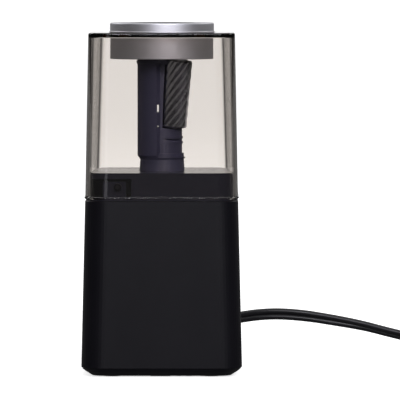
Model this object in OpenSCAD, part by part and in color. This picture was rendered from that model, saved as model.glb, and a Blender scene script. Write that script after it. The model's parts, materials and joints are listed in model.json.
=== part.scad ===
// Upright electric pencil sharpener with a lift-off shavings receptacle.
// Millimetres. X to the right, Y to the back, Z up. The origin is on the table, under the middle of the housing.
// The cutter unit is drawn with its cutter towards +X and then turned to its resting angle.

/* [Housing] */
// Width of the housing just above its bottom cover
foot_w = 70.1; // [69.5:0.1:70.5]
// Width of the housing at its top edge
rim_w = 66.7; // [66.4:0.1:66.9]
// Outer corner radius of the housing
corner_r = 10; // [9:0.5:11]
// Wall thickness of the housing
shell_wall = 2; // [1.8:0.1:2.1]
// Height of the seam between housing and bottom cover
seam_z = 4.1; // [4:0.1:4.4]
// Height of the housing's top edge
rim_z = 76.8; // [76.6:0.1:77]
// Height of the deck under the receptacle
deck_z = 88.7; // [88.5:0.1:89]
// Width of the deck's collar
deck_w = 62.3; // [62:0.1:62.4]

/* [Receptacle] */
// Width of the receptacle at its lower edge
bin_w = 66.6; // [66.4:0.1:66.8]
// Width of the receptacle under its top
bin_top_w = 63.8; // [63.6:0.1:64]
// Height of the receptacle's top face
bin_top_z = 149.5; // [149.2:0.1:149.6]
// Wall thickness of the receptacle
bin_wall = 1.6; // [1.4:0.1:1.7]

/* [Cap and pencil entry] */
// Diameter of the cap
cap_d = 45.8; // [45.6:0.1:46]
// Height of the cap's top face
cap_top_z = 153.7; // [153.5:0.1:154]
// Height of the cap's lower edge
cap_low_z = 137.8; // [137.4:0.1:138]
// Diameter of the pencil entry
pencil_bore_d = 8.2; // [8:0.1:8.3]

/* [Cutter] */
// Diameter of the helical cutter
cutter_d = 11.7; // [11.5:0.1:11.8]
// Length of the helical cutter
cutter_l = 29.5; // [29:0.1:30]
// Tilt of the cutter's axle
cutter_tilt = 6.55; // [6.5:0.05:6.6]
// Number of flutes
flutes = 12; // [10:1:14]
// Length over which a flute makes one turn
flute_lead = 52; // [46:1:60]
// Diameter of the carrier that holds the cutter
carrier_d = 21.6; // [21.4:0.1:21.8]
// Resting angle of the cutter, seen from above
cutter_angle = -40; // [-180:5:180]

/* [Gears] */
// Module of the gears in the base
drive_module = 0.6; // [0.6:0.01:0.6]
// Teeth of the motor pinion and of the small wheel on the compound gear
pinion_teeth = 12; // [12:1:12]
// Teeth of the large wheel on the compound gear
compound_teeth = 40; // [40:1:40]
// Teeth of the output gear
output_teeth = 48; // [48:1:48]
// Module of the cutter pinion and ring gear
ring_module = 0.8; // [0.8:0.01:0.8]
// Teeth of the cutter pinion
planet_teeth = 14; // [14:1:14]
// Teeth of the ring gear
ring_teeth = 40; // [40:1:40]

/* [Cord] */
// Width of the flat cord
cord_d = 5.3; // [5.2:0.1:5.4]

/* [Hidden] */
$fn = 64;
slab = 0.02;
gap = 0.05;
corner_fn = 48;
steel = "silver";
black = [0.12, 0.12, 0.14];
navy = [0.13, 0.13, 0.19];

// Housing
bottom_z = 0.5;
foot_z = 1.65;
screw_spot = 21.5;
chassis_spot = 24.8;
deck_low_z = 73;
deck_plate = 2;

// Gearbox, built up from the motor's face
tray_z = 52;
tray_t = 2.5;
cover_z = 70;
cover_t = 2;
wheel_z = 56;
wheel_h = 4;
output_z = 61.2;
output_h = 5;
post_spots = [[-24, -10], [24, -12], [24, 16], [-6, -24]];
chassis_spots = [[1, 1], [1, -1], [-1, -1]];

// Motor, beside the shaft's lower end
motor_xy = [-14.2, 14.2];
motor_r = 16;
motor_low_z = 14;
motor_screw_r = 8;
compound_r = drive_module * (pinion_teeth + output_teeth) / 2;
motor_pair_r = drive_module * (pinion_teeth + compound_teeth) / 2;
motor_r_out = norm(motor_xy);
motor_dir = atan2(motor_xy[1], motor_xy[0]);
swing = acos((compound_r ^ 2 + motor_r_out ^ 2 - motor_pair_r ^ 2) / (2 * compound_r * motor_r_out));
compound_dir = motor_dir - swing;
compound_xy = compound_r * [cos(compound_dir), sin(compound_dir)];
to_motor = atan2(motor_xy[1] - compound_xy[1], motor_xy[0] - compound_xy[0]);

// Drive shaft, thrust seat and start switch
shaft_r = 3;
shaft_low_z = 60.5;
shaft_top_z = 102;
flat_half = 2.3;
seat_z = 58.95;
seat_low_z = 50.6;
stem_r = 1.8;
switch_dir = motor_dir - 90;
switch_low_z = 39;
switch_h = 9.5;
button_top_z = 50.2;

// Interlock behind the recess in the deck's collar
recess = [14.5, 7.8];
recess_xz = [-20.25, 78.3];
plunger_xz = [-19, 82.6];

// Cutter unit
cutter_r = cutter_d / 2;
carrier_r = carrier_d / 2;
axle_r = 1.5;
flute_depth = 1;
cutter_foot = [6.354, 0, 107.1];
cutter_top_w = 30.4;
planet_w = 33.93;
planet_h = 3;
slot_r = 6.6;
slot_low_w = cutter_top_w - cutter_l - 0.6;
slot_top_w = 37.4;
carrier_low_z = 88.6;
hub_z = 94.1;
carrier_top_z = 146.6;
pencil_r = 4.3;

// Ring gear and cap
ring_z = 138.8;
ring_h = 5.8;
cap_wall = 1.5;
bin_top_t = 2;
cap_top_t = 1.6;
guide_low_z = 147.1;
ring_screw_r = 19.2;

// Cord: where it leaves the strain relief, and the points that it passes on its way to the coil
cord_exit_z = 18;
cord_exit_x = 19;
cord_r = cord_d / 2;
cord_route = [
    [19, 55, 18], [19, 62, 18], [21, 72, 17.5], [26, 81, 17], [34, 88.5, 17],
    [43, 94, 17.8], [53, 97.5, 18], [65, 99.5, 17], [78, 100, 15], [92, 99.5, 12.4],
    [105, 98.5, 9.2], [117, 97.8, 6.4], [126, 97.6, 4.8], [134, 97.8, 3.8]
];
tail_route = [[186.3, 51.5, 7.4], [186.6, 47, 6.2], [187, 42, 5.3], [187, 37, 5]];
coil_xy = [152, 65];
coil_out_r = 37;
coil_in_r = 19;
coil_low_z = 0.5;
coil_h = 10.8;
plug_xy = [187, 37];
plug_l = 24;

// Width of the housing at a height, and of its inner faces
function shell_w(z) = foot_w - (foot_w - rim_w) * (z - seam_z) / (rim_z - seam_z);
function inner_half(z) = shell_w(z) / 2 - shell_wall;

// A square with round corners, as plain squares and circles
module rounded_square(w, r, d = 0) {
    h = d == 0 ? w : d;
    square([w - 2 * r, h], center = true);
    square([w, h - 2 * r], center = true);
    for (x = [-1, 1], y = [-1, 1])
        translate([x * (w / 2 - r), y * (h / 2 - r)]) circle(r);
}

// A straight block with round corners from one height to another
module block(w, r, z0, z1, d = 0) {
    translate([0, 0, z0]) linear_extrude(z1 - z0) rounded_square(w, r, d);
}

// A smooth shell through a list of [height, width, corner radius]
module loft(rings) {
    hull()
        for (i = [0 : len(rings) - 1])
            translate([0, 0, rings[i][0] - (i == 0 ? 0 : slab)])
                linear_extrude(slab) rounded_square(rings[i][1], rings[i][2], $fn = corner_fn);
}

// A rod between two heights
module rod(r, z0, z1) {
    translate([0, 0, z0]) cylinder(r = r, h = z1 - z0);
}

// A tube between two heights
module pipe(r_out, r_in, z0, z1) {
    difference() {
        rod(r_out, z0, z1);
        rod(r_in, z0 - 1, z1 + 1);
    }
}

// Points of an involute gear: flank points run from the root up to the tip and down again
function inv_point(rb, r) =
    let (t = sqrt(max(0, (r / rb) ^ 2 - 1)))
    [r, t * 180 / PI - atan(t)];
function half_tooth(m, n, press, slack, r) =
    let (rb = m * n / 2 * cos(press), base = inv_point(rb, max(r, rb))[1])
    90 / n + inv_point(rb, m * n / 2)[1] - base - slack / (m * n) * 90 / PI;
function polar(r, a) = [r * cos(a), r * sin(a)];
function gear_points(m, n, press, add, ded, slack, phase) =
    let (
        r_tip = m * n / 2 + add * m,
        r_root = m * n / 2 - ded * m,
        r_low = max(r_root, m * n / 2 * cos(press)),
        steps = [for (i = [0 : 3]) r_low + (r_tip - r_low) * i / 3]
    )
    [for (k = [0 : n - 1]) let (a = phase + 360 * k / n) each concat(
        [polar(r_root, a - half_tooth(m, n, press, slack, r_low))],
        [for (i = [0 : 3]) polar(steps[i], a - half_tooth(m, n, press, slack, steps[i]))],
        [for (i = [3 : -1 : 0]) polar(steps[i], a + half_tooth(m, n, press, slack, steps[i]))],
        [polar(r_root, a + half_tooth(m, n, press, slack, r_low))]
    )];

// A spur gear between two heights, with a tooth centred on the angle phase
module spur(m, n, z0, z1, phase = 0) {
    translate([0, 0, z0]) linear_extrude(z1 - z0)
        polygon(gear_points(m, n, 25, 0.85, 1.2, 0.16, phase));
}

// Ring of points around a point of a path, square to its direction
function unit(v) = v / norm(v);
function along(path, i) =
    unit(path[min(i + 1, len(path) - 1)] - path[max(i - 1, 0)]);
function ring_of(path, i, r, n) =
    let (t = along(path, i), s = unit(cross(t, [0, 0, 1])), u = cross(s, t))
    [for (k = [0 : n - 1]) path[i] + r * (cos(360 * k / n) * s + sin(360 * k / n) * u)];

// A tube along a path
module sweep(path, r, n = 10) {
    last = len(path) - 1;
    points = [for (i = [0 : last]) each ring_of(path, i, r, n)];
    sides = [for (i = [0 : last - 1], k = [0 : n - 1])
        let (a = i * n + k, b = i * n + (k + 1) % n)
        [a, b, b + n, a + n]];
    ends = [[for (k = [n - 1 : -1 : 0]) k], [for (k = [0 : n - 1]) last * n + k]];
    polyhedron(points, concat(sides, ends), convexity = 6);
}

// A pan-head screw that points up from the height of its head
module screw_up(head_r, head_h, shank_r, length) {
    difference() {
        rod(head_r, 0, head_h);
        rod(head_r * 0.45, -1, head_h * 0.55, $fn = 6);
    }
    rod(shank_r, head_h, head_h + length);
}

// Everything in the cutter unit is turned to its resting angle
module unit_turn() {
    rotate([0, 0, cutter_angle]) children();
}

// The cutter's own axle points along Z in here, from the cutter's lower end
module cutter_frame() {
    translate(cutter_foot) rotate([0, cutter_tilt, 0]) children();
}

module base_shell() {
    color(black) difference() {
        union() {
            difference() {
                loft([[seam_z, foot_w, corner_r], [rim_z - 0.5, shell_w(rim_z - 0.5), corner_r],
                    [rim_z, rim_w - 0.8, corner_r - 0.4]]);
                loft([[seam_z - 1, foot_w - 2 * shell_wall, corner_r - shell_wall],
                    [rim_z + 1, rim_w - 2 * shell_wall, corner_r - shell_wall]]);
            }
            // Bosses for the bottom cover's screws, each tied to its corner by a rib
            for (x = [-1, 1], y = [-1, 1]) {
                translate([x * screw_spot, y * screw_spot]) rod(3.6, 6, 13);
                corner_rib(x, y, 6.4, 12.5, screw_spot * sqrt(2) + 2.2);
            }
            // Ledges that carry the gearbox tray
            for (s = chassis_spots) {
                translate([s[0] * chassis_spot, s[1] * chassis_spot]) rod(3.8, 42, tray_z);
                corner_rib(s[0], s[1], 42.5, tray_z - 0.5, chassis_spot * sqrt(2) + 2.4);
            }
            // Guides for the rectifier board
            for (y = [-19.5, 15.5])
                translate([inner_half(12) - 6, y - 1, 10]) cube([6.3, 2, 38]);
        }
        for (x = [-1, 1], y = [-1, 1])
            translate([x * screw_spot, y * screw_spot]) rod(1.25, 5, 14);
        for (s = chassis_spots)
            translate([s[0] * chassis_spot, s[1] * chassis_spot]) rod(1.6, 41, tray_z + 1);
        // Way out for the strain relief
        translate([cord_exit_x, foot_w / 2 - 5, cord_exit_z]) rotate([-90, 0, 0])
            linear_extrude(10) rounded_square(8.2, 2, 7.2);
        // Slots in the guides
        translate([inner_half(12) - 4.35, -18.7, 9]) cube([1.8, 33.4, 40]);
    }
}

// A rib from a boss outwards to the housing's corner
module corner_rib(x, y, z0, z1, from) {
    angle = atan2(y, x);
    far = (inner_half(z1) - corner_r + shell_wall) * sqrt(2) + corner_r - shell_wall + 0.8;
    rotate([0, 0, angle]) translate([from, -1, z0]) cube([far - from, 2, z1 - z0]);
}

module bottom_cover() {
    color(black) difference() {
        union() {
            difference() {
                loft([[bottom_z, foot_w - 9.5, corner_r - 4], [1.5, foot_w - 6.7, corner_r - 2.9],
                    [2.4, foot_w - 3.7, corner_r - 1.7], [3.3, foot_w - 1.5, corner_r - 0.7],
                    [seam_z, foot_w - 0.4, corner_r - 0.2]]);
                block(2 * inner_half(6) - 3.3, corner_r - shell_wall - 1.6, 3, 7);
            }
            // Locating rim inside the housing
            difference() {
                block(2 * inner_half(6) - 0.3, corner_r - shell_wall - 0.2, seam_z - 0.5, 6);
                block(2 * inner_half(6) - 3.3, corner_r - shell_wall - 1.6, seam_z - 1, 7);
            }
            for (x = [-1, 1], y = [-1, 1])
                translate([x * screw_spot, y * screw_spot]) rod(4.4, 2, 6);
            // Moulded pad and ribs under the front edge
            translate([-4.8, -foot_w / 2 + 6.3, 0.25]) cube([8.6, 3, 1]);
            for (x = [6.5, 10.8, 17, 20.6])
                translate([x, -foot_w / 2 + 6.4, 0.3]) cube([2, 3, 1]);
        }
        for (x = [-1, 1], y = [-1, 1])
            translate([x * screw_spot, y * screw_spot]) {
                rod(5.6, 0, foot_z);
                rod(3, 0, 3.4);
                rod(1.7, 0, 7);
            }
        // Air slots
        for (x = [-12 : 4 : 12])
            translate([x - 0.8, -9, 0]) cube([1.6, 18, 4]);
    }
}

module rubber_feet() {
    color([0.08, 0.08, 0.08]) for (x = [-1, 1], y = [-1, 1])
        translate([x * screw_spot, y * screw_spot])
            rotate_extrude()
                polygon([[0, 0], [4.9, 0], [5.4, 0.5], [5.4, foot_z], [0, foot_z]]);
}

module cover_screws() {
    color(steel) for (x = [-1, 1], y = [-1, 1])
        translate([x * screw_spot, y * screw_spot, foot_z + 0.05]) screw_up(2.7, 1.7, 1.25, 8.5);
}

module deck() {
    half = deck_w / 2;
    color(black) difference() {
        union() {
            difference() {
                union() {
                    difference() {
                        union() {
                            block(deck_w, 8, deck_low_z, deck_z - 0.6);
                            block(deck_w - 0.8, 7.6, deck_z - 0.6, deck_z);
                        }
                        block(deck_w - 4, 6, deck_low_z - 1, deck_z - deck_plate);
                    }
                    rod(12, 84.8, deck_z - 1);
                }
                // Well that the carrier's skirt turns and sinks in
                rod(10.3, 86.8, deck_z + 1);
            }
            // Sleeve for the shaft's bush
            rod(8.4, 84, 92.2);
            // Posts down to the gearbox
            for (p = post_spots) translate([p[0], p[1]]) rod(3.4, cover_z + cover_t, deck_z - 1);
            // Thick wall behind the recess, and rails for the interlock switch
            translate([recess_xz[0] - 6.1, -half + 1, 78]) cube([14.8, 2.4, 9]);
            for (x = [-1, 1])
                translate([plunger_xz[0] + x * 7.2 - 0.6, -half + 3, 79]) cube([1.2, 13, 8]);
        }
        rod(5, 83, 93);
        for (p = post_spots) translate([p[0], p[1]]) rod(1.25, cover_z, 82);
        translate([recess_xz[0] - recess[0] / 2, -half - 1, recess_xz[1]])
            cube([recess[0], 3.2, recess[1]]);
        translate([plunger_xz[0], -half - 1, plunger_xz[1]]) rotate([-90, 0, 0])
            cylinder(r = 1.65, h = 6);
    }
}

module deck_bush() {
    color("goldenrod") pipe(5, shaft_r + gap, 84, 92);
}

module gearbox_tray() {
    color([0.85, 0.85, 0.82]) difference() {
        union() {
            translate([0, 0.5]) block(58, 8, tray_z, tray_z + tray_t, 60);
            for (p = post_spots) translate([p[0], p[1]]) rod(3.4, tray_z, cover_z);
            for (s = chassis_spots)
                translate([s[0] * chassis_spot, s[1] * chassis_spot]) rod(3.2, tray_z, 58);
            translate(compound_xy) rod(3, tray_z, wheel_z - 0.1);
            // Web that holds the start switch
            rotate([0, 0, switch_dir]) translate([-11, -5.3, switch_low_z - 1])
                cube([22, 2, tray_z - switch_low_z + 2]);
        }
        for (p = post_spots) translate([p[0], p[1]]) rod(1.6, tray_z - 1, cover_z + 1);
        for (s = chassis_spots)
            translate([s[0] * chassis_spot, s[1] * chassis_spot]) rod(1.25, tray_z - 1, 57);
        translate(compound_xy) rod(axle_r, tray_z + 1, wheel_z + 1);
        rod(stem_r + gap, tray_z - 1, tray_z + tray_t + 1);
        translate(motor_xy) {
            rod(5.1, tray_z - 1, tray_z + tray_t + 1);
            for (s = [-1, 1])
                rotate([0, 0, to_motor + 90]) translate([s * motor_screw_r, 0])
                    rod(1.4, tray_z - 1, tray_z + tray_t + 1);
        }
        for (s = [-1, 1])
            rotate([0, 0, switch_dir]) translate([s * 7, -6, switch_low_z + 3]) rotate([-90, 0, 0])
                cylinder(r = 0.9, h = 4);
    }
}

module gearbox_cover() {
    color([0.85, 0.85, 0.82]) difference() {
        translate([0, 0.5]) block(57, 8, cover_z, cover_z + cover_t, 59);
        for (p = post_spots) translate([p[0], p[1]]) rod(1.6, cover_z - 1, cover_z + cover_t + 1);
        translate(compound_xy) rod(axle_r, cover_z - 1, cover_z + cover_t + 1);
        rod(7, cover_z - 1, cover_z + cover_t + 1);
    }
}

module gearbox_screws() {
    color(steel) for (p = post_spots)
        translate([p[0], p[1], tray_z - 1.8]) screw_up(2.7, 1.8, 1.25, 28);
}

module chassis_screws() {
    color(steel) for (s = chassis_spots)
        translate([s[0] * chassis_spot, s[1] * chassis_spot, 40.2]) screw_up(2.7, 1.8, 1.25, 14.5);
}

module output_bush() {
    color("goldenrod") union() {
        pipe(7, 5.06, cover_z, cover_z + cover_t);
        pipe(7, 5.06, cover_z + cover_t, cover_z + cover_t + 0.6);
    }
}

// Shaft section with two flats
module two_flats(r, half) {
    intersection() {
        circle(r);
        square([4 * r, 2 * half], center = true);
    }
}

module output_gear() {
    phase = compound_dir + 180 / output_teeth;
    color("ivory") difference() {
        union() {
            spur(drive_module, output_teeth, output_z, output_z + output_h, phase);
            rod(5, output_z, 73.4);
        }
        translate([0, 0, output_z - 1]) linear_extrude(14)
            two_flats(shaft_r + 0.08, flat_half + 0.08);
        // Lightening holes in the web
        for (a = [0 : 60 : 300])
            rotate([0, 0, a]) translate([9, 0]) rod(2, output_z - 1, output_z + output_h + 1);
    }
}

module compound_gear() {
    color("ivory") translate(compound_xy) difference() {
        union() {
            spur(drive_module, compound_teeth, wheel_z, wheel_z + wheel_h, to_motor);
            spur(drive_module, pinion_teeth, wheel_z + wheel_h, 67, compound_dir + 180);
            rod(2.6, 67, cover_z - 0.4);
        }
        rod(axle_r + gap, wheel_z - 1, cover_z);
    }
}

module compound_axle() {
    color(steel) translate(compound_xy) rod(axle_r, tray_z + 1, cover_z + cover_t + 0.4);
}

module motor_can() {
    color("lightgray") translate(motor_xy) difference() {
        union() {
            rod(motor_r, 16.5, tray_z);
            rod(5, tray_z, tray_z + 2);
        }
        rod(motor_r - 1.2, 15, tray_z - 1.4);
        rod(2.6, 15, tray_z + 3);
        for (s = [-1, 1])
            rotate([0, 0, to_motor + 90]) translate([s * motor_screw_r, 0])
                rod(1.2, tray_z - 2, tray_z + 1);
        // Air slots in the side
        for (a = [45 : 90 : 315])
            rotate([0, 0, a]) translate([10, -2, 44]) cube([10, 4, 4]);
    }
}

module motor_end_bell() {
    color([0.15, 0.15, 0.15]) translate(motor_xy) difference() {
        union() {
            rod(motor_r, motor_low_z, 16.5);
            rod(motor_r - 1.25, 16.5, 19);
            // Brush carriers
            for (s = [-1, 1])
                rotate([0, 0, 45]) translate([s * 8.5 - 2.5, -2.5, 18]) cube([5, 5, 4.5]);
        }
        rod(2.6, motor_low_z - 1, 20);
        for (s = [-1, 1])
            rotate([0, 0, 45]) translate([s * 8.5 - 3, -1.3, 19.2]) cube([6, 2.6, 2.6]);
    }
    // Solder tags
    color("goldenrod") translate(motor_xy) for (s = [-1, 1])
        rotate([0, 0, 45]) translate([s * 11 - 0.4, -1.5, motor_low_z - 3]) cube([0.8, 3, 3]);
}

module motor_magnets() {
    color([0.25, 0.25, 0.27]) translate(motor_xy) for (s = [0, 180])
        rotate([0, 0, s + 45]) difference() {
            pipe(motor_r - 1.25, 11.6, 25, 46);
            translate([-20, -20, 24]) cube([26, 40, 24]);
        }
}

module motor_bushes() {
    color("goldenrod") translate(motor_xy) {
        pipe(2.6, 1.05, motor_low_z + 0.4, 17.5);
        pipe(2.6, 1.05, tray_z - 1.4, tray_z + 1.8);
    }
}

module motor_screws() {
    color(steel) translate(motor_xy) for (s = [-1, 1])
        rotate([0, 0, to_motor + 90]) translate([s * motor_screw_r, 0, tray_z + tray_t + 1.2])
            mirror([0, 0, 1]) screw_up(2.2, 1.2, 1.2, 4.2);
}

module motor_shaft() {
    color(steel) translate(motor_xy) rod(1, motor_low_z + 0.6, 61.5);
}

module motor_armature() {
    color("dimgray") translate(motor_xy) difference() {
        rod(11, 27, 44);
        rod(1, 26, 45);
        // Winding slots
        for (a = [0 : 72 : 288])
            rotate([0, 0, a]) {
                translate([0, -0.8, 26]) cube([12, 1.6, 19]);
                translate([6.8, 0]) rod(2.6, 26, 45);
            }
    }
    // Winding heads
    color([0.72, 0.35, 0.16]) translate(motor_xy) {
        pipe(8.4, 3, 44, 47);
        pipe(8.4, 3, 24.4, 27);
    }
}

module commutator() {
    color([0.72, 0.45, 0.2]) translate(motor_xy) difference() {
        rod(3.6, 19.3, 24);
        rod(1, 18, 25);
        for (a = [0 : 72 : 288])
            rotate([0, 0, a + 36]) translate([2.9, -0.2, 18]) cube([1, 0.4, 7]);
    }
}

module motor_brushes() {
    color([0.2, 0.2, 0.2]) translate(motor_xy) for (s = [0, 180])
        rotate([0, 0, s + 45]) translate([3.75, -1.2, 19.3]) cube([6, 2.4, 2.4]);
}

module motor_pinion() {
    phase = to_motor + 180 + 180 / pinion_teeth;
    color("gold") translate(motor_xy) difference() {
        spur(drive_module, pinion_teeth, wheel_z - 0.5, wheel_z + wheel_h + 0.6, phase);
        rod(1, wheel_z - 2, wheel_z + 6);
    }
}

module drive_shaft() {
    color(steel) unit_turn() difference() {
        rod(shaft_r, shaft_low_z, shaft_top_z);
        // Flats that slide in the output gear and hold the carrier
        for (s = [-1, 1])
            rotate([0, 0, -cutter_angle]) translate([-5, s * (flat_half + 5) - 5, shaft_low_z - 1])
                cube([10, 10, 16]);
    }
}

module thrust_seat() {
    color([0.9, 0.88, 0.8]) {
        rod(stem_r, seat_low_z, seat_z);
        rod(4.2, seat_z, shaft_low_z - gap);
    }
}

// A coil spring as a stack of turns along a rising path
module return_spring() {
    turns = 3;
    low = tray_z + tray_t + 0.4;
    rise = seat_z - 0.4 - low;
    steps = 16;
    path = [for (i = [0 : turns * steps])
        [3 * cos(360 * i / steps), 3 * sin(360 * i / steps), low + rise * i / (turns * steps)]];
    color(steel) sweep(path, 0.32, 8);
}

module start_switch() {
    color([0.15, 0.15, 0.17]) rotate([0, 0, switch_dir]) difference() {
        translate([-10, -3.2, switch_low_z]) cube([20, 6.4, switch_h]);
        rod(1.45, switch_low_z + 4, switch_low_z + switch_h + 1);
        for (s = [-1, 1])
            translate([s * 7, -4, switch_low_z + 3]) rotate([-90, 0, 0]) cylinder(r = 1.1, h = 8);
    }
    // Terminals
    color("goldenrod") rotate([0, 0, switch_dir]) for (x = [-7, 0, 7])
        translate([x - 1.6, -0.3, switch_low_z - 4]) cube([3.2, 0.6, 4]);
}

module start_button() {
    color("crimson") rotate_extrude()
        polygon([[0, 44.5], [1.4, 44.5], [1.4, button_top_z - 0.4], [1, button_top_z], [0, button_top_z]]);
}

module switch_screws() {
    color(steel) rotate([0, 0, switch_dir]) for (s = [-1, 1])
        translate([s * 7, -6.5, switch_low_z + 3]) rotate([-90, 0, 0])
            screw_up(1.9, 1.2, 0.8, 8.2);
}

module interlock_switch() {
    front = -deck_w / 2 + 3.6;
    color([0.15, 0.15, 0.17]) difference() {
        translate([plunger_xz[0] - 6.4, front, 79.4]) cube([12.8, 9, 6.4]);
        translate([plunger_xz[0], front - 1, plunger_xz[1]]) rotate([-90, 0, 0])
            cylinder(r = 1.65, h = 6);
    }
    color("goldenrod") for (x = [-4, 0, 4])
        translate([plunger_xz[0] + x - 0.8, front + 9, 82]) cube([1.6, 3, 0.6]);
}

module interlock_plunger() {
    tip = -deck_w / 2 - 0.4;
    color("white") translate([plunger_xz[0], tip, plunger_xz[1]]) rotate([-90, 0, 0])
        rotate_extrude()
            polygon([[0, 0], [0.9, 0], [1.6, 0.7], [1.6, 7.2], [0, 7.2]]);
}

module rectifier_board() {
    color([0.2, 0.45, 0.25]) translate([inner_half(12) - 4.25, -18.6, 12]) cube([1.6, 33.2, 34]);
}

module bridge_rectifier() {
    x = inner_half(12) - 4.25;
    color([0.1, 0.1, 0.1]) translate([x - 4.2, -14, 30]) cube([4, 14, 10]);
    color(steel) for (i = [0 : 3])
        translate([x - 2.4, -12 + i * 3.4, 27]) cube([0.7, 0.9, 3]);
}

module capacitor() {
    x = inner_half(12) - 4.25;
    color("midnightblue") translate([x - 0.2, -8, 19]) rotate([0, -90, 0])
        cylinder(r = 4.5, h = 12);
}

module thermal_fuse() {
    x = inner_half(12) - 4.25;
    color("beige") translate([x - 2.6, 2, 36]) rotate([-90, 0, 0]) cylinder(r = 1.6, h = 9);
    color(steel) translate([x - 2.6, 0.8, 36]) rotate([-90, 0, 0]) cylinder(r = 0.4, h = 11.4);
}

module wiring() {
    board_x = inner_half(12) - 4.9;
    // From the motor's tags to the board
    color("firebrick") sweep([[-5.4, 22, 11.8], [0, 22.5, 9.5], [8, 19, 8.5], [16, 12, 9.5],
        [22, 7, 12], [board_x, 5, 14.5]], 0.7, 6);
    // From the cord's two conductors to the board
    color("ivory") sweep([[20.2, 30.9, 18], [20.2, 26, 18.5], [21, 20, 20],
        [23.5, 14, 24], [board_x, 11, 28]], 0.9, 6);
    color("ivory") sweep([[17.8, 30.9, 18], [17.6, 25, 17.8], [18.5, 19, 17.4],
        [22, 12, 18], [board_x, 3, 20]], 0.9, 6);
    // From the start switch to the board
    color("navy") sweep([[5.2, 5.2, 34.2], [9, 4, 32.5], [14, 1, 32],
        [19.5, 0.5, 31], [board_x - 1, 1.2, 25.5]], 0.7, 6);
}

// Body of the carrier before its openings are cut
module carrier_blank() {
    rotate_extrude()
        polygon([[0, hub_z], [8.8, hub_z], [8.8, carrier_low_z], [9.9, carrier_low_z],
            [9.6, 93.6], [carrier_r, 95.4], [carrier_r, 135.6], [carrier_r + 0.4, 135.8],
            [carrier_r + 0.4, 137], [carrier_r, 137.2], [carrier_r, carrier_top_z - 0.5],
            [carrier_r - 0.5, carrier_top_z], [0, carrier_top_z]]);
    // Lobe for the axle's upper end
    intersection() {
        cutter_frame() rod(3.2, slot_top_w - 0.5, 41);
        rod(20, 140, carrier_top_z);
    }
}

module carrier() {
    color(navy) unit_turn() difference() {
        carrier_blank();
        // The side towards the cutter is cut back to a slim neck with thin ribs
        difference() {
            translate([5, -15, 94.6]) cube([15, 30, 40.9]);
            rod(8.8, 94, 136);
            pipe(9.6, 8, 94, 96.4);
            pipe(9.2, 8, 100.6, 101.6);
            pipe(9.2, 8, 102.9, 103.9);
        }
        // The back of that side is cut back further
        difference() {
            translate([2.7, 0, 94.6]) cube([5, 15, 40.9]);
            rod(8.8, 94, 136);
            pipe(9.6, 8, 94, 96.4);
        }
        // Slot for the cutter and its pinion
        cutter_frame() {
            rod(slot_r, slot_low_w, slot_top_w);
            translate([0, -slot_r, slot_low_w]) cube([14, 2 * slot_r, slot_top_w - slot_low_w]);
            rod(axle_r, -4, 41);
        }
        // Cone and bore for the pencil
        translate([0, 0, 104]) cylinder(r1 = 0.7, r2 = pencil_r, h = 34);
        rod(pencil_r, 137.99, carrier_top_z + 1);
        rod(shaft_r, hub_z - 5, shaft_top_z);
        // Small sight slot and pin hole through the web
        rotate([0, 0, -cutter_angle]) {
            translate([-2.25, -15, 114.2]) cube([0.9, 30, 3.6]);
            translate([-1.8, 0, 108.1]) rotate([90, 0, 0]) cylinder(r = 0.5, h = 30, center = true);
        }
    }
}

module cutter_axle() {
    color(steel) unit_turn() cutter_frame() rod(axle_r, -4, 39.6);
}

module axle_clip() {
    color(steel) unit_turn() cutter_frame() difference() {
        pipe(2.9, axle_r, planet_w + planet_h + 0.08, planet_w + planet_h + 0.38);
        translate([0, -0.9, 36]) cube([4, 1.8, 3]);
    }
}

// Outline of the cutter: every flute has a narrow land and a sloping back
function flute_points() =
    [for (k = [0 : flutes - 1]) let (a = 360 / flutes, s = k * a) each [
        polar(cutter_r, s), polar(cutter_r, s + 0.2 * a),
        polar(cutter_r - 0.4, s + 0.58 * a), polar(cutter_r - flute_depth, s + 0.84 * a)]];

module helical_cutter() {
    turn = 360 * cutter_l / flute_lead;
    color("dimgray") unit_turn() cutter_frame() difference() {
        translate([0, 0, cutter_top_w - cutter_l])
            linear_extrude(cutter_l, twist = -turn, slices = 44, convexity = 8) polygon(flute_points());
        rod(axle_r + gap, -1, cutter_top_w + 1);
    }
}

module cutter_pinion() {
    color("silver") unit_turn() cutter_frame() difference() {
        union() {
            rod(3, cutter_top_w, planet_w);
            translate([0, 0, planet_w]) linear_extrude(planet_h)
                polygon(gear_points(ring_module, planet_teeth, 20, 0.75, 1.25, 0.32, 0));
        }
        rod(axle_r + gap, cutter_top_w - 1, planet_w + planet_h + 1);
    }
}

module receptacle() {
    inner = bin_w - 2 * bin_wall;
    inner_top = bin_top_w - 2 * bin_wall;
    color([0.75, 0.72, 0.68, 0.4]) difference() {
        union() {
            loft([[77.2, bin_w - 0.4, 9.3], [77.5, bin_w, 9.5], [bin_top_z - 1, bin_top_w + 0.05, 9.5],
                [bin_top_z - 0.35, bin_top_w - 0.6, 9.2], [bin_top_z, bin_top_w - 1.9, 8.6]]);
            loft([[77.35, bin_w, 9.5], [77.65, bin_w + 0.8, 9.9], [78.3, bin_w + 0.8, 9.9],
                [78.65, bin_w, 9.5]]);
        }
        loft([[76, inner + 0.05, 7.9], [bin_top_z - bin_top_t - 0.6, inner_top, 7.9],
            [bin_top_z - bin_top_t, inner_top - 1.2, 7.3]]);
        rod(cap_d / 2 + gap, bin_top_z - 5, bin_top_z + 1);
    }
}

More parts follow.
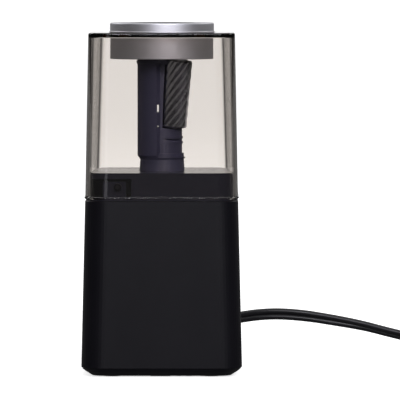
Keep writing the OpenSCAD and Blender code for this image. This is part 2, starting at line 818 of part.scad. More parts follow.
module cap() {
    r = cap_d / 2;
    color([0.78, 0.78, 0.8])
        rotate_extrude($fn = 96)
            polygon([[r - cap_wall, cap_low_z], [r - 0.4, cap_low_z], [r, cap_low_z + 0.4],
                [r, bin_top_z], [r + 0.25, bin_top_z], [r + 0.25, bin_top_z + 0.4],
                [r, bin_top_z + 0.6], [r, cap_top_z - 0.8], [r - 0.25, cap_top_z - 0.25],
                [r - 0.8, cap_top_z], [14.6, cap_top_z], [14.6, cap_top_z - 1], [12.6, cap_top_z - 1],
                [12.6, cap_top_z - cap_top_t - 0.6], [r - cap_wall, cap_top_z - cap_top_t - 0.6]]);
    // Posts for the ring gear's screws
    color([0.78, 0.78, 0.8]) for (a = [30, 150, 270])
        rotate([0, 0, a]) translate([ring_screw_r, 0]) difference() {
            rod(2, ring_z + ring_h, cap_top_z - cap_top_t);
            rod(0.9, ring_z, 149.5);
        }
}

module ring_gear() {
    color([0.85, 0.85, 0.82]) difference() {
        rod(cap_d / 2 - cap_wall - 0.1, ring_z, ring_z + ring_h);
        translate([0, 0, ring_z - 1]) linear_extrude(ring_h + 2)
            polygon(gear_points(ring_module, ring_teeth, 20, 1.25, 0.8, -0.02, cutter_angle));
        for (a = [30, 150, 270])
            rotate([0, 0, a]) translate([ring_screw_r, 0]) rod(1.1, ring_z - 1, ring_z + ring_h + 1);
    }
}

module ring_screws() {
    color(steel) for (a = [30, 150, 270])
        rotate([0, 0, a]) translate([ring_screw_r, 0, ring_z - 1.2]) screw_up(1.8, 1.2, 0.9, 9.5);
}

module pencil_guide() {
    bore = pencil_bore_d / 2;
    color(black) rotate_extrude($fn = 72)
        polygon([[bore, guide_low_z], [5.6, guide_low_z], [5.6, 149.4], [12.5, 151.4], [12.5, cap_top_z - 1],
            [14.5, cap_top_z - 1], [14.5, cap_top_z - 0.2], [14.1, cap_top_z], [11.2, cap_top_z],
            [10.6, cap_top_z - 0.3], [bore, 151.1]]);
}

module strain_relief() {
    color(black) translate([cord_exit_x, 0, cord_exit_z]) rotate([-90, 0, 0]) difference() {
        union() {
            translate([0, 0, 31]) linear_extrude(1.3) rounded_square(10.5, 2.2, 9.5);
            translate([0, 0, 32.3]) linear_extrude(2.6) rounded_square(8, 2, 7);
            translate([0, 0, 34.9]) linear_extrude(1.6) rounded_square(10.5, 2.2, 9.5);
            translate([0, 0, 36.5]) cylinder(r1 = 3.9, r2 = 3.1, h = 18.5);
        }
        translate([0, 0, 30]) linear_extrude(2.5) rounded_square(6.4, 1, 3);
        // Flex slots
        for (i = [0 : 3], a = [0, 180])
            rotate([0, 0, a + (i % 2) * 90]) translate([1.6, -5, 39.5 + i * 3.6]) cube([4, 10, 1.3]);
    }
}

module cord_tube() {
    color(black) sweep(cord_route, cord_r, 10);
}

module cord_coil() {
    color(black) translate([coil_xy[0], coil_xy[1], coil_low_z])
        rotate_extrude($fn = 72) translate([coil_in_r, 0])
            square([coil_out_r - coil_in_r, coil_h]);
}

module cord_tail() {
    color(black) sweep(tail_route, cord_r, 10);
}

module cord_tie() {
    color([0.2, 0.2, 0.2]) translate([coil_xy[0], coil_xy[1] - (coil_out_r + coil_in_r) / 2, 0])
        difference() {
            translate([-4, -(coil_out_r - coil_in_r) / 2 - 1.1, 0])
                cube([8, coil_out_r - coil_in_r + 2.2, coil_low_z + coil_h + 0.6]);
            translate([-5, -(coil_out_r - coil_in_r) / 2 - 0.6, coil_low_z])
                cube([10, coil_out_r - coil_in_r + 1.2, coil_h + 0.1]);
        }
}

module plug_body() {
    color(black) translate([plug_xy[0], plug_xy[1], 5]) rotate([90, 0, 0]) difference() {
        union() {
            cylinder(r1 = 3.2, r2 = 4.2, h = 9);
            hull() {
                translate([0, 0, 8]) linear_extrude(0.1) rounded_square(9, 2.4, 8, $fn = 24);
                translate([0, 0, 12]) linear_extrude(0.1) rounded_square(15, 3, 9, $fn = 24);
                translate([0, 0, plug_l - 2]) linear_extrude(0.1) rounded_square(20, 3.4, 9.6, $fn = 24);
                translate([0, 0, plug_l - 0.1]) linear_extrude(0.1) rounded_square(19, 3, 8.8, $fn = 24);
            }
        }
        // Grip grooves
        for (s = [-1, 1], i = [0 : 2])
            translate([s * 9.6 - 1, -6, 13 + i * 2.6]) cube([2, 12, 1]);
    }
}

module plug_blades() {
    color("goldenrod") translate([plug_xy[0], plug_xy[1] - plug_l, 5])
        for (x = [-6.35, 6.35])
            translate([x - 0.75, -16.5, -3.2]) difference() {
                cube([1.5, 16.5, 6.4]);
                translate([-1, 3.6, 3.2]) rotate([0, 90, 0]) cylinder(r = 1.5, h = 4);
            }
}

base_shell();
bottom_cover();
rubber_feet();
cover_screws();
deck();
deck_bush();
gearbox_tray();
gearbox_cover();
gearbox_screws();
chassis_screws();
output_bush();
output_gear();
compound_gear();
compound_axle();
motor_can();
motor_end_bell();
motor_magnets();
motor_bushes();
motor_screws();
motor_shaft();
motor_armature();
commutator();
motor_brushes();
motor_pinion();
drive_shaft();
thrust_seat();
return_spring();
start_switch();
start_button();
switch_screws();
interlock_switch();
interlock_plunger();
rectifier_board();
bridge_rectifier();
capacitor();
thermal_fuse();
wiring();
carrier();
cutter_axle();
helical_cutter();
cutter_pinion();
axle_clip();
receptacle();
cap();
ring_gear();
ring_screws();
pencil_guide();
strain_relief();
cord_tube();
cord_coil();
cord_tail();
cord_tie();
plug_body();
plug_blades();
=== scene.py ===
"""Looks for an upright electric pencil sharpener with a smoky receptacle, silver cap and flat twin cord."""

import json
import math

import bmesh
import bpy
from mathutils import Matrix, Vector


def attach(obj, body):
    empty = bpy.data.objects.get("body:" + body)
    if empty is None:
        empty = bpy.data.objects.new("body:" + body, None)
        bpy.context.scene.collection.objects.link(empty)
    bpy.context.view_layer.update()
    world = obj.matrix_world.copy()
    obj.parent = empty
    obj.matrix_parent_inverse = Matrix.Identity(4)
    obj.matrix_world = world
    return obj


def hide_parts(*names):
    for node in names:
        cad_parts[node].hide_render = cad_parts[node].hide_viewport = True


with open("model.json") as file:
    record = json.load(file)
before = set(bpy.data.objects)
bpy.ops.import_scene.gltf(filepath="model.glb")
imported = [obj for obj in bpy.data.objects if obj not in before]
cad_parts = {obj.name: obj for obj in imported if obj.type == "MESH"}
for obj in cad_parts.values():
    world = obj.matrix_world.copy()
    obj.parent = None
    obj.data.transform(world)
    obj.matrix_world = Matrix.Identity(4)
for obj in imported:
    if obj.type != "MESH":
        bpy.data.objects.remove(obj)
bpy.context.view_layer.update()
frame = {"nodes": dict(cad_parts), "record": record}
scene = bpy.context.scene
MM = 0.001

# Heights and radii of the receptacle and the cap, in mm
BIN_FOOT, BIN_CEILING, BIN_TOP = 77.2, 147.5, 149.5
CAP_FOOT, CAP_CEILING, CAP_TOP = 137.8, 151.5, 153.7
CAP_HOLE_R, CAP_INSIDE_R, CAP_WALL_R = 22.96, 21.4, 22.9
RING_POST_R = 19.2

# Limits of the painted shade band on the cap where it sits in the receptacle's hole, and of the recess in the
# collar, in mm
SEAT_SHADE_LOW, SEAT_SHADE_HIGH = 147.38, 149.48
RECESS_LEFT, RECESS_RIGHT, RECESS_LOW, RECESS_HIGH = -27.4, -13.0, 78.1, 86.1

# The helical cutter in mm and degrees, with heights measured along its own tilted axle
FLUTES, FLUTE_LEAD = 12, 52.0
CUTTER_R, CUTTER_BORE_R, CUTTER_LOW, CUTTER_HIGH = 5.85, 1.56, 0.9, 30.4
CUTTER_FOOT, CUTTER_TILT, CUTTER_TURN = (6.354, 0, 107.1), 6.55, -40


# ---------------------------------------------------------------- camera

def add_camera():
    """A long lens far off, looking slightly down at the object."""
    data = bpy.data.cameras.new("camera")
    data.lens = 414
    data.sensor_width = 36
    data.clip_end = 60
    down = 2.838
    camera = bpy.data.objects.new("camera", data)
    camera.location = (0.0167, -2.024, 0.1759)
    camera.rotation_euler = (math.radians(90 - down), 0, 0)
    scene.collection.objects.link(camera)
    scene.camera = camera


# ---------------------------------------------------------------- mesh helpers

def mesh_object(name, verts, faces, smooth_angle=35):
    """A closed mesh from points and faces, smooth where it bends less than smooth_angle."""
    mesh = bpy.data.meshes.new(name)
    mesh.from_pydata([tuple(v) for v in verts], [], faces)
    bm = bmesh.new()
    bm.from_mesh(mesh)
    bmesh.ops.remove_doubles(bm, verts=bm.verts, dist=1e-7)
    bmesh.ops.recalc_face_normals(bm, faces=bm.faces)
    limit = math.radians(smooth_angle)
    for face in bm.faces:
        face.smooth = True
    for edge in bm.edges:
        edge.smooth = len(edge.link_faces) == 2 and edge.calc_face_angle(0) < limit
    bm.to_mesh(mesh)
    bm.free()
    obj = bpy.data.objects.new(name, mesh)
    scene.collection.objects.link(obj)
    return obj


def strip_faces(rings, size, closed):
    """Quads between neighbouring rings of equal size."""
    faces = []
    count = rings if closed else rings - 1
    for i in range(count):
        a, b = i * size, ((i + 1) % rings) * size
        for k in range(size):
            n = (k + 1) % size
            faces.append((a + k, a + n, b + n, b + k))
    return faces


def lathe(profile, segments=96, centre=(0, 0)):
    """Points and faces of a closed outline of (radius, height) turned about an upright axis, in mm."""
    verts = []
    for r, z in profile:
        for k in range(segments):
            a = 2 * math.pi * k / segments
            verts.append(((centre[0] + r * math.cos(a)) * MM, (centre[1] + r * math.sin(a)) * MM, z * MM))
    return verts, strip_faces(len(profile), segments, True)


def square_ring(half, corner, z, steps=14):
    """A level square ring with round corners, in mm."""
    points = []
    for quarter in range(4):
        cx = (half - corner) * (1 if quarter in (0, 3) else -1)
        cy = (half - corner) * (1 if quarter in (0, 1) else -1)
        for k in range(-1, steps + 2):
            a = math.pi / 2 * (quarter + min(max(k, 0), steps) / steps)
            x, y = cx + corner * math.cos(a), cy + corner * math.sin(a)
            # One more point on the flat at each end of the arc keeps the flat's shading flat
            side = 0.5 if k < 0 else -0.5 if k > steps else 0
            points.append((x + side * math.sin(a), y - side * math.cos(a), z))
    return points


def circle_like(ring, radius, z):
    """A level circle whose points stand at the same angles as those of ring."""
    return [(radius * x / math.hypot(x, y), radius * y / math.hypot(x, y), z) for x, y, _ in ring]


def loft(name, rings, closed=True, smooth_angle=35):
    """A surface through rings of equal size, in mm."""
    verts = [Vector(p) * MM for ring in rings for p in ring]
    return mesh_object(name, verts, strip_faces(len(rings), len(rings[0]), closed), smooth_angle)


def joined(name, parts, smooth_angle=35):
    """One object from several lists of points and faces."""
    verts, faces = [], []
    for part_verts, part_faces in parts:
        faces += [tuple(i + len(verts) for i in face) for face in part_faces]
        verts += list(part_verts)
    return mesh_object(name, verts, faces, smooth_angle)


def smooth_line(points, step):
    """A curve through the points, with a new point about every step."""
    line = []
    last = len(points) - 1
    for i in range(last):
        a, b = points[i], points[i + 1]
        before = points[i - 1] if i else a * 2 - b
        after = points[i + 2] if i + 2 <= last else b * 2 - a
        count = max(2, round((b - a).length / step))
        for k in range(count):
            t = k / count
            line.append(0.5 * (2 * a + (b - before) * t + (2 * before - 5 * a + 4 * b - after) * t ** 2
                               + (3 * a - before - 3 * b + after) * t ** 3))
    return line + [points[-1]]


# ---------------------------------------------------------------- materials

def maths(tree, operation, *values):
    """One maths node, fed by numbers or by the outputs of other nodes."""
    node = tree.nodes.new("ShaderNodeMath")
    node.operation = operation
    for socket, value in zip(node.inputs, values):
        if isinstance(value, (int, float)):
            socket.default_value = value
        else:
            tree.links.new(value, socket)
    return node.outputs[0]


def band(tree, source, low, high, to_low, to_high):
    """Eases a value from to_low to to_high while the source goes from low to high."""
    node = tree.nodes.new("ShaderNodeMapRange")
    node.interpolation_type = "SMOOTHSTEP"
    for key, value in (("From Min", low), ("From Max", high), ("To Min", to_low), ("To Max", to_high)):
        node.inputs[key].default_value = value
    tree.links.new(source, node.inputs["Value"])
    return node.outputs["Result"]


class Paint:
    """A small helper that builds one node material."""

    def __init__(self, name):
        self.material = bpy.data.materials.new(name)
        self.material.use_nodes = True
        self.tree = self.material.node_tree
        self.shader = self.tree.nodes["Principled BSDF"]
        self.output = self.tree.nodes["Material Output"]
        self.place = self.node("ShaderNodeTexCoord").outputs["Object"]

    def node(self, kind, **settings):
        made = self.tree.nodes.new(kind)
        for key, value in settings.items():
            setattr(made, key, value)
        return made

    def link(self, source, target):
        self.tree.links.new(source, target)

    def axes(self):
        """The object's own X, Y and Z, in metres."""
        split = self.node("ShaderNodeSeparateXYZ")
        self.link(self.place, split.inputs["Vector"])
        return split.outputs

    def within(self, value, low, high):
        """1 where a place lies between two limits in mm, else 0."""
        return maths(self.tree, "COMPARE", value, (low + high) / 2 * MM, (high - low) / 2 * MM)

    def blend(self, factor, first, second):
        """First colour where the factor is 0, second where it is 1; each is a colour or an output."""
        mix = self.node("ShaderNodeMix", data_type="RGBA")
        self.link(factor, mix.inputs["Factor"])
        for socket, value in ((mix.inputs[6], first), (mix.inputs[7], second)):
            if isinstance(value, tuple):
                socket.default_value = (*value, 1)
            else:
                self.link(value, socket)
        return mix.outputs[2]

    def noise(self, scale, detail=3, rough=0.5, stretch=(1, 1, 1)):
        """Noise in the object's own frame, in features per metre."""
        mapping = self.node("ShaderNodeMapping")
        mapping.inputs["Scale"].default_value = stretch
        self.link(self.place, mapping.inputs["Vector"])
        noise = self.node("ShaderNodeTexNoise")
        noise.inputs["Scale"].default_value = scale
        noise.inputs["Detail"].default_value = detail
        noise.inputs["Roughness"].default_value = rough
        self.link(mapping.outputs["Vector"], noise.inputs["Vector"])
        return noise.outputs["Fac"]

    def ramp(self, source, low, high, start=0.3, end=0.7):
        """Maps a value onto a colour or a grey between low and high."""
        ramp = self.node("ShaderNodeValToRGB")
        for stop, place, value in zip(ramp.color_ramp.elements, (start, end), (low, high)):
            stop.position = place
            stop.color = (value, value, value, 1) if isinstance(value, float) else (*value, 1)
        self.link(source, ramp.inputs["Fac"])
        return ramp.outputs["Color"]

    def bump(self, source, strength, distance):
        bump = self.node("ShaderNodeBump")
        bump.inputs["Strength"].default_value = strength
        bump.inputs["Distance"].default_value = distance
        self.link(source, bump.inputs["Height"])
        return bump.outputs["Normal"]

    def set(self, **values):
        for key, value in values.items():
            self.shader.inputs[key.replace("_", " ")].default_value = value

    def feed(self, **sources):
        for key, source in sources.items():
            self.link(source, self.shader.inputs[key.replace("_", " ")])


def plastic(name, dark, light, rough=(0.34, 0.4), grain=1500, depth=0.000006, level=0.5):
    """Moulded plastic: fine grain, slow colour drift and faint handling marks."""
    paint = Paint(name)
    drift = paint.noise(30, 3)
    marks = paint.noise(90, 5, 0.6, (1, 1, 0.5))
    fine = paint.noise(grain, 2)
    paint.feed(
        Base_Color=paint.ramp(drift, dark, light),
        Roughness=paint.ramp(marks, *rough, 0.25, 0.75),
        Normal=paint.bump(fine, 0.25, depth),
    )
    paint.set(Specular_IOR_Level=level)
    return paint.material


def metal(name, dark, light, rough=(0.22, 0.36), grain=900, stretch=(1, 1, 1), strength=0.15):
    """Machined metal with fine direction lines and uneven polish."""
    paint = Paint(name)
    drift = paint.noise(120, 4)
    lines = paint.noise(grain, 4, 0.6, stretch)
    paint.feed(
        Base_Color=paint.ramp(drift, dark, light),
        Roughness=paint.ramp(lines, *rough),
        Normal=paint.bump(lines, strength, 0.000008),
    )
    paint.set(Metallic=1.0)
    return paint.material


def smoke_glass():
    """Clear smoky plastic, tinted by the depth of its walls, that lets light through to what it holds."""
    paint = Paint("smoke_window_clear")
    scuffs = paint.noise(500, 5, 0.7, (1, 1, 0.2))
    waves = paint.noise(38, 2)
    paint.set(Base_Color=(1, 1, 1, 1), Transmission_Weight=1.0, IOR=1.49)
    paint.feed(
        Roughness=paint.ramp(scuffs, 0.0, 0.012, 0.55, 0.8),
        Normal=paint.bump(waves, 0.05, 0.0002),
    )
    clear = paint.node("ShaderNodeBsdfTransparent")
    clear.inputs["Color"].default_value = (0.84, 0.83, 0.82, 1)
    rays = paint.node("ShaderNodeLightPath")
    lighting = maths(paint.tree, "MAXIMUM", rays.outputs["Is Shadow Ray"], rays.outputs["Is Diffuse Ray"])
    mix = paint.node("ShaderNodeMixShader")
    paint.link(lighting, mix.inputs["Fac"])
    paint.link(paint.shader.outputs["BSDF"], mix.inputs[1])
    paint.link(clear.outputs["BSDF"], mix.inputs[2])
    paint.link(mix.outputs["Shader"], paint.output.inputs["Surface"])
    smoke = paint.node("ShaderNodeVolumeAbsorption")
    smoke.inputs["Color"].default_value = (0.38, 0.23, 0.09, 1)
    smoke.inputs["Density"].default_value = 130
    paint.link(smoke.outputs["Volume"], paint.output.inputs["Volume"])
    return paint.material


def silver_paint():
    """Satin silver with a very fine flake, painted black as shade where the cap sits in the receptacle's
    hole.
    """
    paint = Paint("silver_satin")
    flake = paint.noise(5200, 2)
    silver = paint.ramp(paint.noise(60, 3), (0.62, 0.62, 0.655), (0.66, 0.66, 0.695))
    # Painted shade: the band inside the receptacle's hole is coloured black in place of shade that the lamps
    # don't give there
    seat_shade = paint.within(paint.axes()["Z"], SEAT_SHADE_LOW, SEAT_SHADE_HIGH)
    paint.feed(
        Base_Color=paint.blend(seat_shade, silver, (0.006, 0.006, 0.009)),
        Roughness=paint.ramp(flake, 0.45, 0.52),
        Normal=paint.bump(flake, 0.05, 0.000004),
    )
    paint.set(Metallic=1.0)
    return paint.material


def vinyl():
    """Soft black cord sheath with a faint length-wise sheen."""
    paint = Paint("cord_vinyl_soft")
    drift = paint.noise(70, 4)
    fine = paint.noise(1800, 3)
    paint.feed(
        Base_Color=paint.ramp(drift, (0.005, 0.005, 0.006), (0.010, 0.010, 0.012)),
        Roughness=paint.ramp(drift, 0.30, 0.42),
        Normal=paint.bump(fine, 0.2, 0.00001),
    )
    paint.set(Specular_IOR_Level=0.35)
    return paint.material


def board_green():
    """Circuit board with faint tracks."""
    paint = Paint("board_tracks")
    tracks = paint.node("ShaderNodeTexBrick")
    tracks.inputs["Scale"].default_value = 160
    tracks.inputs["Color1"].default_value = (0.016, 0.10, 0.035, 1)
    tracks.inputs["Color2"].default_value = (0.022, 0.13, 0.045, 1)
    tracks.inputs["Mortar"].default_value = (0.05, 0.22, 0.09, 1)
    paint.link(paint.place, tracks.inputs["Vector"])
    paint.link(tracks.outputs["Color"], paint.shader.inputs["Base Color"])
    paint.feed(Roughness=paint.ramp(paint.noise(400), 0.3, 0.5))
    return paint.material


def deck_black():
    """Black of the deck, with painted shade in the corner beside the switch recess and along the recess's
    edges.
    """
    paint = Paint("black_deck")
    at = paint.axes()

    def both(a, b):
        return maths(paint.tree, "MULTIPLY", a, b)

    def either(a, b):
        return maths(paint.tree, "MAXIMUM", a, b)

    # Painted shade: the corner left of the recess, the recess's far side and its top edge get a darker base
    # colour
    corner = paint.within(at["X"], RECESS_LEFT - 5.2, RECESS_LEFT + 2)
    far_side = paint.within(at["X"], RECESS_RIGHT - 2.4, RECESS_RIGHT - 0.2)
    sides = both(paint.within(at["Z"], RECESS_LOW, RECESS_HIGH), either(far_side, corner))
    lintel = both(
        paint.within(at["Z"], RECESS_HIGH - 1.1, RECESS_HIGH + 0.1),
        paint.within(at["X"], RECESS_LEFT, RECESS_RIGHT),
    )
    shade = both(either(sides, lintel), paint.within(at["Y"], -32, -26))
    drift = paint.noise(30, 3)
    black = paint.ramp(drift, (0.019, 0.019, 0.030), (0.023, 0.023, 0.035))
    paint.feed(
        Base_Color=paint.blend(shade, black, (0.002, 0.002, 0.003)),
        Roughness=paint.ramp(drift, 0.15, 0.19),
        Normal=paint.bump(paint.noise(900, 2), 0.12, 0.000002),
    )
    paint.set(Specular_IOR_Level=0.3)
    return paint.material


def make_materials():
    """One material for every slot of the record, and one of its own for the deck."""
    return {
        "black_plastic": plastic("black_moulded", (0.0028, 0.0025, 0.0042), (0.0036, 0.0033, 0.0054),
                                 (0.36, 0.41), level=0.22),
        "deck_plastic": deck_black(),
        "foot_rubber": plastic("rubber_foot", (0.012, 0.012, 0.012), (0.022, 0.022, 0.022),
                               (0.6, 0.75), 900, 0.00002),
        "bright_steel": metal("steel_plated", (0.46, 0.46, 0.47), (0.60, 0.60, 0.61)),
        "brass_parts": metal("brass_turned", (0.58, 0.38, 0.13), (0.74, 0.52, 0.22), (0.2, 0.34)),
        "gear_nylon": plastic("nylon_natural", (0.62, 0.60, 0.52), (0.72, 0.70, 0.63), (0.4, 0.55)),
        "motor_steel": metal("zinc_can", (0.36, 0.37, 0.38), (0.52, 0.53, 0.54), (0.3, 0.45), 300),
        "armature_iron": metal("iron_stack", (0.10, 0.10, 0.11), (0.2, 0.2, 0.21), (0.4, 0.55),
                               900, (0.1, 0.1, 6)),
        "carbon": plastic("carbon_block", (0.02, 0.02, 0.02), (0.04, 0.04, 0.04), (0.5, 0.7)),
        "button_red": plastic("red_button", (0.36, 0.02, 0.02), (0.46, 0.03, 0.03)),
        "board_green": board_green(),
        "capacitor_sleeve": plastic("sleeve_blue", (0.012, 0.03, 0.13), (0.02, 0.04, 0.17)),
        "board_parts": plastic("component_black", (0.02, 0.02, 0.02), (0.03, 0.03, 0.03)),
        "wire_sleeve": plastic("wire_red", (0.30, 0.03, 0.025), (0.38, 0.045, 0.035)),
        "carrier_navy": plastic("carrier_dark_blue", (0.052, 0.051, 0.098), (0.057, 0.056, 0.106),
                                (0.42, 0.46), 900, 0.000002),
        "tool_steel": metal("cutter_steel", (0.58, 0.58, 0.61), (0.66, 0.66, 0.69), (0.15, 0.19),
                            500, (1, 1, 1), 0.04),
        "smoke_window": smoke_glass(),
        "silver_cap": silver_paint(),
        "cord_vinyl": vinyl(),
    }


def dress(obj, material):
    """Gives an object one material in every slot."""
    if not obj.data.materials:
        obj.data.materials.append(material)
    for slot in obj.material_slots:
        slot.link = "OBJECT"
        slot.material = material


# ---------------------------------------------------------------- cord

# The route's points and the coil are the ones in part.scad.
CORD_ROUTE = [
    (19, 55, 18), (19, 62, 18), (21, 72, 17.5), (26, 81, 17), (34, 88.5, 17),
    (43, 94, 17.8), (53, 97.5, 18), (65, 99.5, 17), (78, 100, 15), (92, 99.5, 12.4),
    (105, 98.5, 9.2), (117, 97.8, 6.4), (126, 97.6, 4.8), (134, 97.8, 3.8),
]
TO_COIL = [(143, 99.4, 3.3)]
TAIL_ROUTE = [(187.3, 58, 8), (186.3, 51.5, 7.4), (186.6, 47, 6.2), (187, 42, 5.3), (187, 37, 5)]
COIL_CENTRE = (152, 65)
COIL_OUT, COIL_IN = 35.5, 20.7
LAYER_LOW, LAYER_HIGH = 3.15, 8.55


def coil_points():
    """Turns wound inwards on the table, then outwards on top of them, clockwise from above."""
    points = []
    inward, outward, per_turn = 4.5, 4.75, 28
    total = round((inward + outward) * per_turn)
    for i in range(total + 1):
        turn = i / per_turn
        angle = math.pi / 2 - 2 * math.pi * turn
        if turn < inward:
            radius = COIL_OUT - (COIL_OUT - COIL_IN) * turn / inward
        else:
            radius = COIL_IN + (COIL_OUT - COIL_IN) * (turn - inward) / outward
        rise = min(1, max(0, (turn - inward + 0.35) / 0.7))
        rise = rise * rise * (3 - 2 * rise)
        height = LAYER_LOW + (LAYER_HIGH - LAYER_LOW) * rise
        x, y = COIL_CENTRE[0] + radius * math.cos(angle), COIL_CENTRE[1] + radius * math.sin(angle)
        points.append((x, y, height))
    return points


def cord_outline(per_lobe=11):
    """Section of a flat twin cord: two round lobes side by side, as (across, through) in mm."""
    lobe, apart = 1.36, 1.29
    half_open = math.pi - math.acos(apart / lobe)
    points = []
    for side in (1, -1):
        for k in range(per_lobe):
            a = -half_open + 2 * half_open * k / (per_lobe - 1)
            points.append((side * (apart + lobe * math.cos(a)), side * lobe * math.sin(a)))
    return points


def cord_twist(x):
    """How far the flat cord leans over from standing upright, by how far right it has come."""
    t = min(1, max(0, (x - 55) / 45)) * min(1, max(0, (140 - x) / 25))
    return math.radians(42) * t * t * (3 - 2 * t)


def add_cord(vinyl_material):
    """The whole flat twin cord as one swept mesh, from the strain relief to the plug."""
    route = [Vector(p) * MM for p in CORD_ROUTE + TO_COIL]
    coil = [Vector(p) * MM for p in coil_points()]
    tail = [Vector(p) * MM for p in TAIL_ROUTE]
    line = smooth_line(route + coil + tail, 2.2 * MM)
    outline = cord_outline()
    verts, up = [], Vector((0, 0, 1))
    for i, point in enumerate(line):
        ahead = (line[min(i + 1, len(line) - 1)] - line[max(i - 1, 0)]).normalized()
        upright = (up - ahead * up.dot(ahead)).normalized()
        lean = Matrix.Rotation(cord_twist(point.x / MM) if i < len(line) // 4 else 0, 3, ahead)
        across = lean @ upright
        through = ahead.cross(across)
        verts += [point + (across * u + through * v) * MM for u, v in outline]
    size = len(outline)
    faces = strip_faces(len(line), size, False)
    faces.append(tuple(reversed(range(size))))
    faces.append(tuple(range((len(line) - 1) * size, len(line) * size)))
    cord = mesh_object("flat_cord", verts, faces, 50)
    dress(cord, vinyl_material)
    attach(cord, "housing")
    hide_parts("cord_tube", "cord_coil", "cord_tail")


# ---------------------------------------------------------------- shells

def arc(centre_r, centre_z, radius, start, end, steps):
    """Points of an arc in an outline of (distance, height), angles in degrees."""
    return [(centre_r + radius * math.cos(math.radians(start + (end - start) * k / steps)),
             centre_z + radius * math.sin(math.radians(start + (end - start) * k / steps)))
            for k in range(steps + 1)]


def fit_skin(skin, material, body, node):
    """Lets a skin ride a body in place of one CAD node."""
    dress(skin, material)
    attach(skin, body)
    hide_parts(node)


def receptacle_skin(material):
    """The smoky receptacle: tapered walls, a bead at its lower edge and a round hole for the cap."""
    def outer(z):
        return 33.3 - (z - 77.5) * 0.0193

    def inner(z):
        return 31.68 - (z - BIN_FOOT) * 0.0198

    outside = [(33.12, BIN_FOOT), (33.28, BIN_FOOT + 0.16)]
    outside += arc(33.3, 77.98, 0.4, -60, 60, 6)
    # Rings close to each bend keep the shading of the long walls flat
    outside += [(outer(z), z) for z in (78.5, 78.8, 79.1, 112, 147.9, 148.2, 148.5)]
    outside += arc(31.22, BIN_TOP - 0.7, 0.7, 8, 90, 6)
    inside = [(29.0, BIN_CEILING), (29.7, BIN_CEILING), (30.1, BIN_CEILING)]
    inside += [(inner(z), z) for z in (147.3, 146.9, 146.5, 112, 78.2, 77.9, 77.6, BIN_FOOT)]
    rings = [square_ring(h, max(7.4, 9.5 - (33.3 - h) * 0.35), z) for h, z in outside]
    rings.append(square_ring(30.5, 8.5, BIN_TOP))
    for radius, z in ((23.3, BIN_TOP), (CAP_HOLE_R, BIN_TOP - 0.2), (CAP_HOLE_R, BIN_CEILING)):
        rings.append(circle_like(rings[-1], radius, z))
    rings += [square_ring(h, 7.9 - max(0, 30.4 - h) * 0.5, z) for h, z in inside]
    skin = loft("smoky_receptacle", rings, smooth_angle=30)
    fit_skin(skin, material, "receptacle", "receptacle")


def cap_skin(material):
    """The silver cap: a turned shell with a lip on the receptacle's top and posts for the ring gear."""
    outline = [(CAP_INSIDE_R, CAP_FOOT), (22.55, CAP_FOOT)]
    outline += arc(22.55, CAP_FOOT + 0.35, 0.35, -60, 0, 3)
    outline += [(CAP_WALL_R, 149.45), (23.12, 149.52), (23.15, 149.6), (23.15, 149.85), (23.05, 150.0)]
    outline += [(CAP_WALL_R, 150.08), (22.88, 152.9)]
    outline += arc(22.12, CAP_TOP - 0.76, 0.76, 8, 90, 8)
    outline += [(14.75, CAP_TOP), (14.6, 153.6), (14.6, 152.7), (12.6, 152.7), (12.6, CAP_CEILING)]
    outline += [(CAP_INSIDE_R, CAP_CEILING)]
    parts = [lathe(outline, 144)]
    post = [(0.9, 144.6), (2.0, 144.6), (2.0, 151.8), (0.9, 151.8)]
    for a in (30, 150, 270):
        spot = (RING_POST_R * math.cos(math.radians(a)), RING_POST_R * math.sin(math.radians(a)))
        parts.append(lathe(post, 24, spot))
    fit_skin(joined("silver_cap", parts), material, "receptacle", "cap")


def flute_radius(t):
    """Radius of the cutter at a fraction of one flute: a narrow land, a long hollow back and a steep face."""
    land, hollow, root = 0.18, 0.86, CUTTER_R - 1.4
    if t < land:
        return CUTTER_R - 0.25 * t
    edge = CUTTER_R - 0.25 * land
    if t < hollow:
        u = (t - land) / (hollow - land)
        return edge - (edge - root) * (1 - math.cos(u * math.pi / 2)) ** 0.8
    return root + (CUTTER_R - root) * (t - hollow) / (1 - hollow)


def cutter_skin(material):
    """The helical cutter: twelve ground flutes that run round a plain bore."""
    shares = [0, 0.06, 0.12, 0.18, 0.28, 0.38, 0.48, 0.57, 0.66, 0.74, 0.81, 0.86, 0.91, 0.96]
    steps = 120
    rings = []
    for k in range(steps + 1):
        w = CUTTER_LOW + (CUTTER_HIGH - CUTTER_LOW) * k / steps
        trim = 0.45 * max(0, 1 - min(w - CUTTER_LOW, CUTTER_HIGH - w) / 0.4)
        ring = []
        for f in range(FLUTES):
            for t in shares:
                a = 2 * math.pi * ((f + t) / FLUTES + (w - CUTTER_LOW) / FLUTE_LEAD)
                r = flute_radius(t) - trim
                ring.append((r * math.cos(a), r * math.sin(a), w))
        rings.append(ring)
    ends = ((rings[-1], CUTTER_HIGH), (rings[0], CUTTER_LOW))
    bore = [circle_like(ring, CUTTER_BORE_R, w) for ring, w in ends]
    tilt = Matrix.Rotation(math.radians(CUTTER_TILT), 4, "Y")
    turn = Matrix.Rotation(math.radians(CUTTER_TURN), 4, "Z")
    place = turn @ Matrix.Translation(CUTTER_FOOT) @ tilt
    rings = [[tuple(place @ Vector(p)) for p in ring] for ring in rings + bore]
    cutter = loft("fluted_cutter", rings, smooth_angle=40)
    fit_skin(cutter, material, "cutter", "helical_cutter")


# ---------------------------------------------------------------- stage and light

def seen_directly(tree):
    """1 for rays that reach the eye straight or through clear plastic, 0 for light on the object."""
    rays = tree.nodes.new("ShaderNodeLightPath")
    bounces = maths(tree, "ADD", rays.outputs["Diffuse Depth"], rays.outputs["Glossy Depth"])
    return maths(tree, "LESS_THAN", bounces, 0.5)


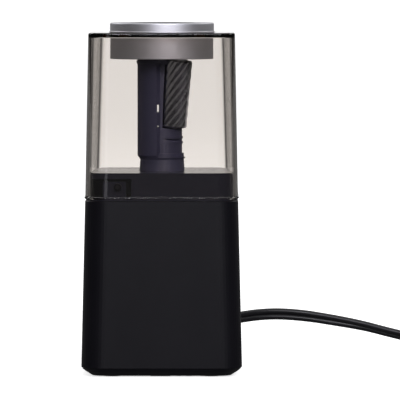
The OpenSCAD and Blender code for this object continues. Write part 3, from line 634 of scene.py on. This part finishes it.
def add_floor():
    """A wide pale floor that runs on into the white background."""
    floor = joined("floor", [lathe([(0.01, -1), (60000, -1), (60000, 0), (0.01, 0)], 96)])
    paint = Paint("pale_floor")
    tree = paint.tree
    at = paint.axes()
    across, along = maths(tree, "ABSOLUTE", at["X"], 0), maths(tree, "ABSOLUTE", at["Y"], 0)
    reach = maths(tree, "MAXIMUM", across, along)
    # Rays that the clear plastic turned aside meet a dim studio at the sides
    slant = maths(tree, "DIVIDE", maths(tree, "MINIMUM", across, along), maths(tree, "MAXIMUM", reach, 0.01))
    aside = band(tree, slant, 0.12, 0.24, 0, 1)
    rays = paint.node("ShaderNodeLightPath")
    through = maths(tree, "MINIMUM", rays.outputs["Transmission Depth"], 1)
    distant = maths(tree, "MULTIPLY", through, band(tree, reach, 0.8, 1.1, 0, 0.96))
    bright = maths(tree, "SUBTRACT", 1, maths(tree, "MULTIPLY", distant, aside))
    lit = maths(tree, "MULTIPLY", seen_directly(tree), bright)
    grain = paint.ramp(paint.noise(3, 2), (0.80, 0.80, 0.80), (0.82, 0.82, 0.82))
    glow = maths(tree, "ADD", maths(tree, "MULTIPLY", lit, 0.68), 0.04)
    # Far behind the object the floor glows a little for every ray
    far = maths(tree, "MULTIPLY", band(tree, at["Y"], 0.9, 1.7, 0, 0.30), bright)
    paint.feed(
        Base_Color=paint.blend(lit, (0.10, 0.10, 0.10), grain),
        Emission_Strength=maths(tree, "MAXIMUM", glow, far),
    )
    paint.set(Roughness=1.0, Emission_Color=(1, 1, 1, 1), Specular_IOR_Level=0.0)
    dress(floor, paint.material)


def add_light(name, place, aim, size, radiance, colour=(1, 1, 1)):
    """A rectangular softbox of even radiance."""
    data = bpy.data.lights.new(name, "AREA")
    data.shape = "RECTANGLE"
    data.size, data.size_y = size
    data.energy = radiance * math.pi * size[0] * size[1]
    data.color = colour
    light = bpy.data.objects.new(name, data)
    light.location = place
    light.rotation_euler = (Vector(aim) - Vector(place)).to_track_quat("-Z", "Y").to_euler()
    # The clear plastic's edges would break a view of the lamp into sparks
    light.visible_transmission = False
    scene.collection.objects.link(light)


def add_world():
    """A white room behind the object and a dim one at its sides and in front of it."""
    world = bpy.data.worlds.new("studio")
    world.use_nodes = True
    tree = world.node_tree
    place = tree.nodes.new("ShaderNodeTexCoord")
    split = tree.nodes.new("ShaderNodeSeparateXYZ")
    tree.links.new(place.outputs["Generated"], split.inputs["Vector"])
    behind = band(tree, split.outputs["Y"], 0.90, 0.975, 0.03, 1.0)
    above = band(tree, split.outputs["Z"], 0.5, 0.9, 0.0, 0.5)
    room = maths(tree, "MAXIMUM", behind, above)
    back = tree.nodes["Background"]
    back.inputs["Color"].default_value = (1, 1, 1, 1)
    tree.links.new(maths(tree, "MAXIMUM", room, seen_directly(tree)), back.inputs["Strength"])
    scene.world = world


def add_lights():
    """A raised softbox with a bright centre in front, a panel at the left, two behind and a soft sky."""
    cool = (0.94, 0.93, 1.0)
    add_light("key", (0.50, -1.92, 1.0), (0, 0, 0.13), (2.0, 0.85), 5.7, cool)
    add_light("centre", (0.42, -1.86, 0.97), (0, 0, 0.13), (0.22, 0.22), 36, cool)
    add_light("panel", (-0.34, -2.4, 0.35), (0, 0, 0.1), (0.45, 0.9), 1.0, cool)
    add_light("rear_left", (-1.5, 1.4, 1.3), (0, 0, 0.1), (1.3, 0.9), 2.5)
    add_light("rear_right", (1.6, 1.2, 1.3), (0, 0, 0.1), (1.3, 0.9), 2.5)
    data = bpy.data.lights.new("overhead", "SUN")
    data.energy = 0.6
    data.angle = math.radians(100)
    sun = bpy.data.objects.new("overhead", data)
    sun.rotation_euler = (math.radians(8), 0, 0)
    scene.collection.objects.link(sun)


# ---------------------------------------------------------------- make everything

add_camera()
materials = make_materials()
add_cord(materials["cord_vinyl"])

node_slots = {part["node"]: part["material_slot"] for part in frame["record"]["subparts"]}
node_slots["deck"] = "deck_plastic"
for node, obj in frame["nodes"].items():
    dress(obj, materials[node_slots[node]])

receptacle_skin(materials["smoke_window"])
cap_skin(materials["silver_cap"])
cutter_skin(materials["tool_steel"])

add_floor()
add_world()
add_lights()
scene.view_settings.view_transform = "Standard"
